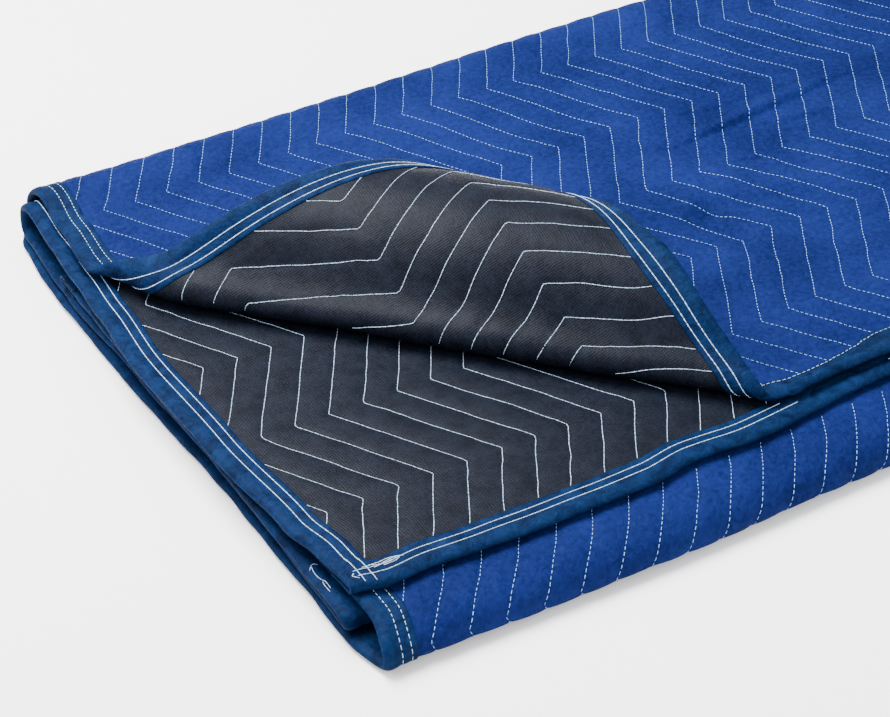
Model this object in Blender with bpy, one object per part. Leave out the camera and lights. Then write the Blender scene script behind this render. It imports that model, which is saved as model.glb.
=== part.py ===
# Moving blanket, 72 by 80 inches, folded into a flat pile with its top front corner rolled back.
#
# It is doubled across its width, so a fold runs down the right side and its two bound long edges
# lie together on the left. The doubled cloth is then folded in three along its depth, like a letter:
# top third, far bend, bottom third, front bend, and the middle third tucked inside.
#
# Every piece is made on one map, from the cloth's own flat coordinates to its folded place:
#   across  0 at the outer half's bound edge, growing over the right-hand fold to the inner half's edge
#   along   0 at the free front edge, growing through the three thirds to the tucked-in end
#   out     distance from the middle of the cloth, towards the blanket's face side

import math

import bpy
from mathutils import Vector
from mathutils.geometry import delaunay_2d_cdt

# Driving sizes, in metres
STRIP_LENGTH = 1.829       # 72 in, laid in three thirds
HALF_WIDTH = 1.016         # 80 in, doubled
STACK_DEPTH = 0.618        # front free corner to far bend
FRONT_BEND_OUT = 0.053     # how far the front bend stands in front of that corner
CLOTH_THICK = 0.0055
EDGE_THICK = 0.0044        # the cloth where a binding presses it
TAPE_WIDTH = 0.027
TAPE_THICK = 0.0010
TAPE_GAP = 0.0003          # clear space between a binding and what it wraps
LAYER_PITCH = 0.0086       # middle of one layer to middle of the next
FLOOR_LAYER_Z = 0.0036     # middle of the lowest layer's bound edge
RIGHT_FOLD_REACH = 0.009
SKEW = 0.036               # the far bend runs this far off square to the side edges

# The thirds and bends of the folded strip, in order along it. Levels count the six layers from the
# floor. A bend's shape is its squareness, 2 being an ellipse, and its lean, which brings its nose
# nearer the layer it starts from.
ELLIPSE = (2.0, 1.0)
#            name          outer levels  inner levels  outer shape  inner shape
SECTIONS = (("top third",     (5, 5),       (4, 4),     ELLIPSE,     ELLIPSE),
            ("far bend",      (5, 0),       (4, 1),     (2.7, 1.0),  (2.7, 1.0)),
            ("bottom third",  (0, 0),       (1, 1),     ELLIPSE,     ELLIPSE),
            ("front bend",    (0, 3),       (1, 2),     (2.7, 1.9),  (2.3, 1.0)),
            ("middle third",  (3, 3),       (2, 2),     ELLIPSE,     ELLIPSE))
TOP, FAR, BOTTOM, FRONT, MIDDLE = range(5)

FAR_APEX = STACK_DEPTH - CLOTH_THICK / 2
FRONT_APEX = -FRONT_BEND_OUT + CLOTH_THICK / 2

# Where each bend's apex lies, at the left edge and the right-hand fold, and how far back it is round.
#        bend     outer apex                             outer reach   inner apex             inner reach
BENDS = {FAR:   ((FAR_APEX, FAR_APEX),                         0.026,   (FAR_APEX - 0.010,) * 2,  0.018),
         FRONT: ((FRONT_APEX, FRONT_APEX - 0.022),             0.044,   (-0.006, -0.058),         0.005)}
FRONT_BOW = ((0.00, 0.001), (0.25, 0.006), (0.48, 0.001), (1.02, 0.000))    # the outer bend's, at each x
INNER_END_EXTRA = 0.038    # the inner half's tucked-in end lies this much further back on the left

# How far each half's bound side edge lies to the left of the line x = 0.
#          section  part of it   outer     inner
EDGE_OUT = ((TOP,      0.00,     0.000,    0.001),
            (TOP,      0.08,     0.000,    0.004),
            (TOP,      0.15,     0.000,    0.011),
            (TOP,      0.35,     0.000,    0.019),
            (TOP,      0.56,     0.000,    0.023),
            (TOP,      0.70,     0.000,    0.018),
            (TOP,      0.80,     0.0035,   0.0145),
            (TOP,      0.90,    -0.001,    0.011),
            (TOP,      1.00,    -0.0065,   0.008),
            (FAR,      0.50,    -0.002,    0.008),
            (BOTTOM,   0.00,     0.013,    0.011),
            (BOTTOM,   0.09,     0.019,    0.014),
            (BOTTOM,   0.18,     0.020,    0.016),
            (BOTTOM,   0.40,     0.018,    0.012),
            (BOTTOM,   0.70,     0.0115,   0.006),
            (BOTTOM,   1.00,     0.011,    0.010),
            (FRONT,    0.50,     0.004,    0.012),
            (FRONT,    0.90,    -0.003,    0.012),
            (MIDDLE,   0.30,     0.002,    0.012),
            (MIDDLE,   1.00,     0.008,    0.014))

# How far back each half's free front edge lies from the line y = SKEW * x.
#               x       outer     inner
FRONT_EDGE = ((0.00,    0.010,    0.003),
              (0.12,    0.010,   -0.006),
              (0.22,    0.011,   -0.013),
              (0.34,    0.013,   -0.011),
              (0.50,    0.014,    0.000),
              (1.02,    0.008,    0.004))

# The rolled corner: a line on the top layer from the side edge to the front edge, and the profile
# of the cloth beyond that line. Lengths and turns are those half-way along the line.
CURL_START = (-0.005, 0.449)
CURL_ANGLE = math.radians(46.5)
CURL_SPAN = 0.560
CURL_TAPER = 0.22          # how much smaller the roll is at the front edge than at the side edge
CURL_LEFT_FLARE = (0.020, 0.072)     # the roll begins this much sooner at its end, over this length
CURL_RIGHT_FLARE = (0.005, 0.064)
CURL_DRAWN = (0.0041, 0.0066)        # how far the rolled cloth is drawn leftward, at the two ends
#        part      length   turn in degrees
CURL = (("heel",   0.026,   168),
        ("hollow", 0.034,   -41),
        ("brow",   0.130,    74),
        ("back",   0.060,    34),
        ("sag",    0.040,   -46),
        ("tip",    0.038,   -10))

# Mesh fineness, and the distances beyond the roll's line at which its mesh has a row of points
BEND_STEPS = 8
RUN_STEPS = {TOP: 4, BOTTOM: 4, MIDDLE: 4}
FOLD_STEPS = 6
HALF_COLUMNS = 6
CURL_BESIDE_PITCH = 0.050
CURL_LINES = (-0.020, 0.0000, 0.0045, 0.0070, 0.0095, 0.0120, 0.0145, 0.0175, 0.022, 0.030, 0.042,
              0.056, 0.072, 0.092, 0.115, 0.140, 0.165, 0.190, 0.215, 0.238, 0.260, 0.282, 0.302)

FACE_BLUE = (0.016, 0.075, 0.32)
TAPE_BLUE = (0.008, 0.085, 0.24)


def smooth(t):
    t = min(max(t, 0.0), 1.0)
    return t * t * (3 - 2 * t)


def level_z(level):
    return FLOOR_LAYER_Z + level * LAYER_PITCH


def round_power(value, squareness):
    return math.copysign(abs(value) ** (2 / squareness), value)


def bend_point(turn, apex, reach, z_from, z_to, shape):
    """A point on a bend, turn going from 0 to pi; the bend opens away from its apex."""
    squareness, lean = shape
    away = 1 if apex > STACK_DEPTH / 2 else -1
    depth = apex - away * reach * (1 - round_power(math.sin(turn), squareness))
    share = (1 - round_power(math.cos(turn), squareness)) / 2
    return depth, z_from + (z_to - z_from) * share ** lean


def bend_length(section):
    outer_levels, _, shape, _ = SECTIONS[section][1:]
    (apex, _), reach = BENDS[section][:2]
    ends = [level_z(level) for level in outer_levels]
    points = [bend_point(math.pi * i / 60, apex, reach, *ends, shape) for i in range(61)]
    return sum(math.dist(a, b) for a, b in zip(points, points[1:]))


FAR_START = FAR_APEX - BENDS[FAR][1]
FRONT_START = FRONT_APEX + BENDS[FRONT][1]
LENGTHS = [FAR_START - FRONT_EDGE[0][1], bend_length(FAR), FAR_START - FRONT_START, bend_length(FRONT)]
LENGTHS.append(STRIP_LENGTH - sum(LENGTHS))
STARTS = [sum(LENGTHS[:i]) for i in range(6)]
MIDDLE_END = FRONT_START + LENGTHS[MIDDLE]
RIGHT_FOLD = 0.5 * math.pi * (RIGHT_FOLD_REACH + LAYER_PITCH / 2)
FULL_WIDTH = 2 * HALF_WIDTH + RIGHT_FOLD


def section_at(along):
    section = max(i for i in range(5) if along >= STARTS[i] or i == 0)
    return section, (along - STARTS[section]) / LENGTHS[section]


def table_value(rows, at):
    """Smooth reading of (place, value) rows."""
    for (a, value_a), (b, value_b) in zip(rows, rows[1:]):
        if at <= b:
            return value_a + (value_b - value_a) * smooth((at - a) / (b - a))
    return rows[-1][1]


def edge_out(inner, along):
    rows = [(STARTS[row[0]] + row[1] * LENGTHS[row[0]], row[3 if inner else 2]) for row in EDGE_OUT]
    return table_value(rows, along)


def front_edge(inner, x):
    return table_value([(row[0], row[2 if inner else 1]) for row in FRONT_EDGE], x)


def profile(inner, along, x):
    """Depth and height of one half's middle, where the strip is cut at x."""
    section, part = section_at(along)
    levels, shape = SECTIONS[section][2::2] if inner else SECTIONS[section][1::2]
    ends = [level_z(level) for level in levels]
    rightward = min(max(x / HALF_WIDTH, 0.0), 1.0)

    def apex_and_reach(bend):
        apexes, reach = BENDS[bend][2:] if inner else BENDS[bend][:2]
        bow = table_value(FRONT_BOW, x) if bend == FRONT and not inner else 0.0
        return apexes[0] + (apexes[1] - apexes[0]) * rightward - bow, reach

    if section in BENDS:
        return bend_point(math.pi * part, *apex_and_reach(section), *ends, shape)
    far_apex, far_reach = apex_and_reach(FAR)
    front_apex, front_reach = apex_and_reach(FRONT)
    far_start, front_start = far_apex - far_reach, front_apex + front_reach
    end = MIDDLE_END + (INNER_END_EXTRA * (1 - rightward) if inner else 0)
    first, last = {TOP: (front_edge(inner, x), far_start),
                   BOTTOM: (far_start, front_start),
                   MIDDLE: (front_start, end)}[section]
    return first + (last - first) * part, ends[0]


def unevenness(x, depth):
    """How much higher or lower than even the pile lies, as a share of the height."""
    waves = 0.020 * math.sin(5.1 * x + 1.3) * math.cos(6.4 * depth - 0.6)
    waves += 0.014 * math.sin(11.0 * x - 7.0 * depth + 0.4)
    far_ridge = (0.07 + 0.02 * (1 - smooth(x / 0.13))) * smooth((depth - 0.545) / 0.055)
    return waves * smooth(x / 0.10) + far_ridge


def curl_heading(beyond):
    """Direction of the rolled cloth, in radians from flat, at one length past the roll's line."""
    heading, at = 0.0, 0.0
    for _, length, turn in CURL:
        share = min(max((beyond - at) / length, 0.0), 1.0)
        heading += math.radians(turn) * share
        at += length
    return heading


def curl_table(step=0.001, soften=0.009):
    """Run and rise at each step of length along the rolled corner's profile, its bends softened."""
    rows, run, rise = [(0.0, 0.0)], 0.0, 0.0
    for i in range(360):
        here = (i + 0.5) * step
        near = [curl_heading(here + soften * (j - 3) / 3) for j in range(7)]
        heading = sum(near) / len(near) * smooth(here / soften)
        run += math.cos(heading) * step
        rise += math.sin(heading) * step
        rows.append((run, rise))
    return step, rows


CURL_STEP, CURL_ROWS = curl_table()
CURL_ALONG = Vector((math.cos(CURL_ANGLE), -math.sin(CURL_ANGLE), 0))
CURL_ACROSS = Vector((-math.sin(CURL_ANGLE), -math.cos(CURL_ANGLE), 0))


def curl_scale(beside):
    return 1 + CURL_TAPER * (beside / CURL_SPAN - 0.5)


def curl_flare(beside):
    """How much sooner than its straight line the roll begins, towards its two ends."""
    (left, left_long), (right, right_long) = CURL_LEFT_FLARE, CURL_RIGHT_FLARE
    return left * (1 - smooth(beside / left_long)) + right * smooth((beside - 0.5 + right_long) / right_long)


def curl_place(flat):
    """Place along the roll's line, distance past where the roll begins, the flare and the scale there."""
    start = Vector((CURL_START[0], CURL_START[1], flat.z))
    beside = (flat - start).dot(CURL_ALONG)
    beyond = (flat - start).dot(CURL_ACROSS)
    scale = curl_scale(beside)
    drawn = CURL_DRAWN[1] * smooth((beside - 0.25) / 0.30) + CURL_DRAWN[0] * (1 - smooth(beside / 0.25))
    beside -= drawn * smooth(beyond / 0.10)
    flare = curl_flare(beside)
    return beside, beyond + flare, flare, scale


def curled(flat):
    """Where a point of the flat top layer goes when the corner is rolled back."""
    beside, beyond, flare, scale = curl_place(flat)
    if beyond <= 0:
        return flat
    place = beyond * scale / CURL_STEP
    row = min(int(place), len(CURL_ROWS) - 2)
    share = place - row
    run, rise = ((1 - share) * a + share * b for a, b in zip(CURL_ROWS[row], CURL_ROWS[row + 1]))
    start = Vector((CURL_START[0], CURL_START[1], flat.z))
    lifted = start + CURL_ALONG * beside + CURL_ACROSS * (run / scale - flare)
    lifted.z += rise / scale
    return lifted


def settled(point, x, depth):
    """Lets a point of the pile down or up with the unevenness, and lays the lowest cloth on the floor."""
    inside = smooth((x - 0.030) / 0.040)
    point.z -= (FLOOR_LAYER_Z - CLOTH_THICK / 2) * inside
    point.z *= 1 + unevenness(x, depth) * smooth((point.z - 0.004) / 0.020)
    return point


def place(across, along):
    """Middle of the cloth at one of its own flat coordinates."""
    over = (across - HALF_WIDTH) / RIGHT_FOLD
    x = across if over <= 0 else HALF_WIDTH if over < 1 else FULL_WIDTH - across
    turn = math.pi * min(max(over, 0.0), 1.0)
    outer_share = (1 + math.cos(turn)) / 2
    outer = profile(False, along, x) if outer_share > 0 else (0.0, 0.0)
    inner = profile(True, along, x) if outer_share < 1 else (0.0, 0.0)
    depth, z = (outer_share * a + (1 - outer_share) * b for a, b in zip(outer, inner))
    out_here = edge_out(False, along) * outer_share + edge_out(True, along) * (1 - outer_share)
    leftward = 1 - x / HALF_WIDTH
    world_x = x - out_here * leftward + RIGHT_FOLD_REACH * math.sin(turn)
    point = Vector((world_x, depth + SKEW * x, z))
    if outer_share == 1 and along < LENGTHS[TOP]:
        point = curled(point)
    return settled(point, x, depth)


def outward(across, along, step=0.0006):
    """Unit vector from the cloth towards its face side."""
    low, high = max(along - step, 0.0), min(along + step, STRIP_LENGTH)
    beside = place(across + step, along) - place(across - step, along)
    ahead = place(across, high) - place(across, low)
    return beside.cross(ahead).normalized()


def offset_place(across, along, out):
    return place(across, along) + outward(across, along) * out


# Distances from the cloth's edge at which a margin and its binding share a line of points
TAPE_LINES = (0.0036, 0.5 * TAPE_WIDTH, TAPE_WIDTH)
CLOTH_LINES = (0.0040,) + TAPE_LINES[1:]
SOFT_EDGE = TAPE_WIDTH + 0.012    # where the cloth is back to its full thickness
TAPE_NOSE = 0.0005                # the outermost line of a binding
TAPE_POCKET = 0.0017              # the innermost line of its pocket

# A binding's cross-section, from one cut edge round the cloth's edge to the other: how far in from
# the edge, and the share of the half thickness there, on its outer and its pocket side
#                 in from edge     outer share   in from edge     pocket share
TAPE_SECTION = ((TAPE_LINES[2],       1.00,      TAPE_LINES[2],       1.00),
                (TAPE_LINES[1],       1.00,      TAPE_LINES[1],       1.00),
                (TAPE_LINES[0],       1.00,      TAPE_LINES[0],       1.00),
                (TAPE_NOSE,           0.52,      TAPE_POCKET,         0.40),
                (TAPE_NOSE,          -0.52,      TAPE_POCKET,        -0.40),
                (TAPE_LINES[0],      -1.00,      TAPE_LINES[0],      -1.00),
                (TAPE_LINES[1],      -1.00,      TAPE_LINES[1],      -1.00),
                (TAPE_LINES[2],      -1.00,      TAPE_LINES[2],      -1.00))

PILE_CENTRE = Vector((
    (HALF_WIDTH + RIGHT_FOLD_REACH + CLOTH_THICK / 2 - max(max(row[2:]) for row in EDGE_OUT)) / 2,
    (STACK_DEPTH + SKEW * HALF_WIDTH - FRONT_BEND_OUT) / 2,
    0))


def scaled_beyond(across, along):
    """How far past the roll's line a point of the flat top layer lies, at the profile's own scale."""
    depth = profile(False, along, across)[0]
    _, beyond, _, scale = curl_place(Vector((across, depth + SKEW * across, 0)))
    return beyond * scale


def crossings(edge_point, flat_end, rolled_end):
    """Distances along an edge of the top layer at which it crosses each of the roll's lines."""
    places = []
    for line in CURL_LINES:
        low, high = flat_end, rolled_end
        if not scaled_beyond(*edge_point(low)) < line < scaled_beyond(*edge_point(high)):
            continue
        for _ in range(40):
            middle = (low + high) / 2
            if scaled_beyond(*edge_point(middle)) < line:
                low = middle
            else:
                high = middle
        places.append(low)
    return sorted(places)


def between(start, end, steps):
    return [start + (end - start) * i / steps for i in range(1, steps)]


def section_stations(section, steps):
    return [STARTS[section] + LENGTHS[section] * i / steps for i in range(steps)]


def bend_and_run_stations():
    stations = []
    for section in (FAR, BOTTOM, FRONT, MIDDLE):
        stations += section_stations(section, BEND_STEPS if section in BENDS else RUN_STEPS[section])
    return stations


def side_stations(inner):
    """Stations along a side edge; the end bindings' lines are added by bound_edge."""
    if inner:
        top = section_stations(TOP, RUN_STEPS[TOP])[1:]
    else:
        top = crossings(lambda along: (0.0, along), STARTS[FAR], 0.0)
    top += between(top[-1], STARTS[FAR], 3)
    return bound_edge(top + bend_and_run_stations(), STRIP_LENGTH)


def end_columns(front):
    """Columns along an end edge, from one side binding over the right-hand fold to the other."""
    if front:
        body = crossings(lambda across: (across, 0.0), HALF_WIDTH, 0.0)
        body += between(body[-1], HALF_WIDTH, 4)
    else:
        body = between(0, HALF_WIDTH, HALF_COLUMNS)
    fold = [HALF_WIDTH + RIGHT_FOLD * i / FOLD_STEPS for i in range(FOLD_STEPS + 1)]
    back = between(FULL_WIDTH - HALF_WIDTH, FULL_WIDTH, HALF_COLUMNS)
    return bound_edge(body + fold + back, FULL_WIDTH)


def bound_edge(places, length):
    """Adds the lines of the bindings that cross an edge's two ends."""
    near = list(TAPE_LINES[1:]) + [SOFT_EDGE]
    room = SOFT_EDGE + 0.004
    return near + [p for p in places if room < p < length - room] + [length - p for p in reversed(near)]


def cloth_half_thick(across, along):
    inside = min(across, FULL_WIDTH - across, along, STRIP_LENGTH - along)
    full = smooth((inside - TAPE_WIDTH) / (SOFT_EDGE - TAPE_WIDTH))
    return (EDGE_THICK + (CLOTH_THICK - EDGE_THICK) * full) / 2


class FlatMesh:
    """Points and edges in the cloth's flat coordinates, each point kept once."""

    def __init__(self):
        self.points, self.numbers, self.edges = [], {}, set()

    def number(self, point):
        key = (round(point[0], 6), round(point[1], 6))
        if key not in self.numbers:
            self.numbers[key] = len(self.points)
            self.points.append(key)
        return self.numbers[key]

    def edge(self, a, b):
        a, b = self.number(a), self.number(b)
        if a != b:
            self.edges.add((min(a, b), max(a, b)))

    def line(self, points):
        for a, b in zip(points, points[1:]):
            self.edge(a, b)

    def grid(self, columns, stations):
        """A rectangular grid whose diagonals lean as the roll does."""
        for column, following in zip(columns, columns[1:]):
            for station, ahead in zip(stations, stations[1:]):
                self.edge((column, ahead), (following, station))
        for column in columns:
            self.line([(column, station) for station in stations])
        for station in stations:
            self.line([(column, station) for column in columns])


def flat_cloth():
    """The cloth's flat mesh: bound margins, rows through the bends, and lines along the roll."""
    flat = FlatMesh()
    low = list(CLOTH_LINES) + [SOFT_EDGE]
    ends = ([low[0]], [STRIP_LENGTH - low[0]])
    sides = ([low[0]], [FULL_WIDTH - low[0]])
    flat.grid(low, ends[0] + side_stations(inner=False) + ends[1])
    flat.grid([FULL_WIDTH - p for p in reversed(low)], ends[0] + side_stations(inner=True) + ends[1])
    flat.grid(sides[0] + end_columns(front=True) + sides[1], low)
    flat.grid(sides[0] + end_columns(front=False) + sides[1], [STRIP_LENGTH - p for p in reversed(low)])

    columns = [SOFT_EDGE] + end_columns(front=False)[3:-3] + [FULL_WIDTH - SOFT_EDGE]
    for station in bend_and_run_stations():
        if station < STRIP_LENGTH - SOFT_EDGE - 0.02:
            flat.line([(column, station) for column in columns])
    beyond_fold = [c for c in columns if c > HALF_WIDTH - 0.2]
    for station in section_stations(TOP, RUN_STEPS[TOP])[1:]:
        flat.line([(column, station) for column in beyond_fold])
        for column in columns:
            if column < beyond_fold[0] and scaled_beyond(column, station) < -0.05:
                flat.number((column, station))

    for line in CURL_LINES:
        row = []
        for i in range(1, int(1.3 * CURL_SPAN / CURL_BESIDE_PITCH)):
            beside = i * CURL_BESIDE_PITCH
            plan = (Vector((CURL_START[0], CURL_START[1], 0))
                    + CURL_ALONG * beside
                    + CURL_ACROSS * (line / curl_scale(beside) - curl_flare(beside)))
            edge = front_edge(False, plan.x)
            share = (plan.y - SKEW * plan.x - edge) / (FAR_START - edge)
            point = (plan.x, share * LENGTHS[TOP])
            if min(point) > SOFT_EDGE + 0.008:
                row.append(point)
        flat.line(row)
        if row:
            flat.number(row[0])
    return flat


def material(name, colour, roughness):
    made = bpy.data.materials.new(name)
    made.use_nodes = True
    shader = made.node_tree.nodes["Principled BSDF"]
    shader.inputs["Base Color"].default_value = (*colour, 1)
    shader.inputs["Roughness"].default_value = roughness
    shader.inputs["Metallic"].default_value = 0.0
    return made


def add_solid(name, points, faces, finish):
    mesh = bpy.data.meshes.new(name)
    mesh.from_pydata([point - PILE_CENTRE for point in points], [], faces)
    mesh.validate()
    mesh.materials.append(finish)
    solid = bpy.data.objects.new(name, mesh)
    bpy.context.collection.objects.link(solid)
    mesh.shade_smooth()
    mesh.set_sharp_from_angle(angle=math.radians(50))
    return solid


def add_cloth():
    """Both faces of the cloth from one flat mesh, joined by a rim round its edge."""
    flat = flat_cloth()
    flat_points, _, triangles, *_ = delaunay_2d_cdt(
        [Vector(point) for point in flat.points], list(flat.edges), [], 0, 1e-7)
    faces_up = []
    for a, b, c in triangles:
        turn = (flat_points[b] - flat_points[a]).cross(flat_points[c] - flat_points[a])
        if abs(turn) > 1e-10:
            faces_up.append((a, b, c) if turn > 0 else (a, c, b))
    upper, lower = [], []
    for point in flat_points:
        middle, out = place(*point), outward(*point)
        half = cloth_half_thick(*point)
        upper.append(middle + out * half)
        lower.append(middle - out * half)
    count = len(upper)
    faces = list(faces_up) + [(a + count, c + count, b + count) for a, b, c in faces_up]
    directed = {pair for a, b, c in faces_up for pair in ((a, b), (b, c), (c, a))}
    for a, b in directed:
        if (b, a) not in directed:
            faces += [(b, a, a + count), (b, a + count, b + count)]
    return add_solid("quilted_cloth", upper + lower, faces, material("face_blue", FACE_BLUE, 0.85))


def add_binding(name, stations, flat_point, over_side):
    """A tape folded over an edge. flat_point gives the flat coordinates at a station and a distance
    in from the edge; over_side says how much of the tape rides on another binding there."""
    base = EDGE_THICK / 2 + TAPE_GAP
    points, flats = [], []
    for station in stations:
        lift = over_side(station) * (TAPE_THICK + TAPE_GAP)
        ring = [(inset, share * (base + lift + TAPE_THICK)) for inset, share, _, _ in TAPE_SECTION]
        ring += [(inset, share * (base + lift)) for _, _, inset, share in reversed(TAPE_SECTION)]
        for inset, out in ring:
            flat = flat_point(station, inset)
            flats.append(flat)
            points.append(offset_place(*flat, out))
    around = 2 * len(TAPE_SECTION)
    faces = []
    for i in range(len(stations) - 1):
        for j in range(around):
            a, b = i * around + j, i * around + (j + 1) % around
            c, d = b + around, a + around
            rise = (flats[c][0] - flats[a][0]) * (flats[c][1] - flats[a][1])
            faces += [(a, b, c), (a, c, d)] if rise < 0 else [(a, b, d), (b, c, d)]
    last = (len(stations) - 1) * around
    for k in range(len(TAPE_SECTION) - 1):
        outer, pocket = k, around - 1 - k
        faces.append((outer, pocket, pocket - 1, outer + 1))
        faces.append((last + outer, last + outer + 1, last + pocket - 1, last + pocket))
    solid = add_solid(name, points, faces, material(name + "_tape", TAPE_BLUE, 0.8))
    if signed_volume(solid) < 0:
        solid.data.flip_normals()
    return solid


def signed_volume(solid):
    solid.data.calc_loop_triangles()
    corners = [[solid.data.vertices[i].co for i in t.vertices] for t in solid.data.loop_triangles]
    return sum(a.dot(b.cross(c)) for a, b, c in corners) / 6


def add_side_binding(name, inner):
    stations = [TAPE_LINES[0]] + side_stations(inner) + [STRIP_LENGTH - TAPE_LINES[0]]

    def flat_point(station, inset):
        return (FULL_WIDTH - inset if inner else inset), station

    return add_binding(name, stations, flat_point, lambda station: 0.0)


def add_end_binding(name, tucked):
    edges = [TAPE_NOSE, TAPE_LINES[0]]
    columns = edges + end_columns(front=not tucked) + [FULL_WIDTH - p for p in reversed(edges)]

    def flat_point(column, inset):
        return column, (STRIP_LENGTH - inset if tucked else inset)

    def over_side(column):
        inside = min(column, FULL_WIDTH - column)
        return 1.0 if inside < TAPE_WIDTH + 0.001 else 0.0

    return add_binding(name, columns, flat_point, over_side)


for old in list(bpy.data.objects):
    bpy.data.objects.remove(old, do_unlink=True)

add_cloth()
add_side_binding("side_binding_outer", inner=False)
add_side_binding("side_binding_inner", inner=True)
add_end_binding("end_binding_front", tucked=False)
add_end_binding("end_binding_tucked", tucked=True)
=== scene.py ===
# Moving blanket, 72 by 80 inches, folded into a flat pile with its top front corner rolled back.
#
# The cloth, its bindings and its stitching are made in the blanket's own flat coordinates and carried
# to the folded pile by one map, the one the part is made with:
#   across  metres from the outer half's bound edge, over the right-hand fold, to the inner half's edge
#   along   metres from the free front edge, through the three thirds, to the tucked-in end
#   out     metres from the middle of the cloth, towards its blue face

import math

import bpy
import numpy as np
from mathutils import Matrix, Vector
from mathutils.geometry import delaunay_2d_cdt


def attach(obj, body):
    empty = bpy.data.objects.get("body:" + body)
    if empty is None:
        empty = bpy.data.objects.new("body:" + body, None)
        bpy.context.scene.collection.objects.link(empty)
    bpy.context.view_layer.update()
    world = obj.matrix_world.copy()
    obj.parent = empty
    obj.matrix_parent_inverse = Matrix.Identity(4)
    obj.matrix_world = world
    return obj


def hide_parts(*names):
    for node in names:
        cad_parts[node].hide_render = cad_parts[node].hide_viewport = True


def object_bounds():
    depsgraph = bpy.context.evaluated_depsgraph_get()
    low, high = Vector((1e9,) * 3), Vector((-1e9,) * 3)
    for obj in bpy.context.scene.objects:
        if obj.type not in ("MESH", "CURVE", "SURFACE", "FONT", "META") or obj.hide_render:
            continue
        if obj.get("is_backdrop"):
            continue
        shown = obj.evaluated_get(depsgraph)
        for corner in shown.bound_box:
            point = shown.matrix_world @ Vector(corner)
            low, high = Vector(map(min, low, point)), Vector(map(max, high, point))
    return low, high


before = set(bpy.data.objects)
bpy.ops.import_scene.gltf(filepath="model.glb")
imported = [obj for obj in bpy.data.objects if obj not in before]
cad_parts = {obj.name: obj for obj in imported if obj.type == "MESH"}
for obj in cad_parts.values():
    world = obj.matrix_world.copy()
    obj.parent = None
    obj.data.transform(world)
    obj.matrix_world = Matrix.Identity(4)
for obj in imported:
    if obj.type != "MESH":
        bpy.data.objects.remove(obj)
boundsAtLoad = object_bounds()


# How the cloth is folded

folding = {
    "stripLength": 1.829,       # 72 in, laid in three thirds
    "halfWidth": 1.016,         # 80 in, doubled
    "stackDepth": 0.618,
    "frontBendOut": 0.053,
    "clothThick": 0.0055,
    "layerPitch": 0.0086,
    "floorLayerZ": 0.0036,
    "rightFoldReach": 0.009,
    "skew": 0.036,
    "innerEndExtra": 0.038,
    # outer levels, inner levels, and each half's squareness and lean of a bend
    "sections": (((5, 5), (4, 4), (2.0, 1.0), (2.0, 1.0)),
                 ((5, 0), (4, 1), (2.7, 1.0), (2.7, 1.0)),
                 ((0, 0), (1, 1), (2.0, 1.0), (2.0, 1.0)),
                 ((0, 3), (1, 2), (2.7, 1.9), (2.3, 1.0)),
                 ((3, 3), (2, 2), (2.0, 1.0), (2.0, 1.0))),
    # how far each half's bound side edge lies to the left of x = 0: section, part of it, outer, inner
    "edgeOut": ((0, 0.00, 0.000, 0.001), (0, 0.08, 0.000, 0.004), (0, 0.15, 0.000, 0.011),
                (0, 0.35, 0.000, 0.019), (0, 0.56, 0.000, 0.023), (0, 0.70, 0.000, 0.018),
                (0, 0.80, 0.0035, 0.0145), (0, 0.90, -0.001, 0.011), (0, 1.00, -0.0065, 0.008),
                (1, 0.50, -0.002, 0.008), (2, 0.00, 0.013, 0.011),
                (2, 0.09, 0.019, 0.014), (2, 0.18, 0.020, 0.016), (2, 0.40, 0.018, 0.012),
                (2, 0.70, 0.0115, 0.006), (2, 1.00, 0.011, 0.010), (3, 0.50, 0.004, 0.012),
                (3, 0.90, -0.003, 0.012), (4, 0.30, 0.002, 0.012), (4, 1.00, 0.008, 0.014)),
    # how far back each half's free front edge lies: x, outer, inner
    "frontEdge": ((0.00, 0.010, 0.003), (0.12, 0.010, -0.006), (0.22, 0.011, -0.013),
                  (0.34, 0.013, -0.011), (0.50, 0.014, 0.000), (1.02, 0.008, 0.004)),
    # how far the outer half's front bend bows out, at each x
    "frontBow": ((0.00, 0.001), (0.25, 0.006), (0.48, 0.001), (1.02, 0.000)),
    # how far up the lowest cloth is pressed, and below what height
    "pressed": (0.0014, 0.013),
    # how far forward the inner half's front edge strays, at each x
    "frontRipple": ((0.00, 0.000), (0.03, 0.0075), (0.07, 0.0025), (0.14, 0.0035), (0.21, 0.000),
                    (0.26, 0.000), (0.30, -0.0045), (0.36, 0.000), (1.02, 0.000)),
}
top, far, bottom, front, middle = range(5)
halfWidth = folding["halfWidth"]
stripLength = folding["stripLength"]
farApex = folding["stackDepth"] - folding["clothThick"] / 2
frontApex = -folding["frontBendOut"] + folding["clothThick"] / 2
# each bend's apex at the left edge and at the right-hand fold, and how far back it is round,
# for the outer half and the inner half
bends = {far: (((farApex, farApex), 0.026), ((farApex - 0.010, farApex - 0.010), 0.018)),
         front: (((frontApex, frontApex - 0.022), 0.044), ((-0.006, -0.058), 0.005))}

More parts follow.
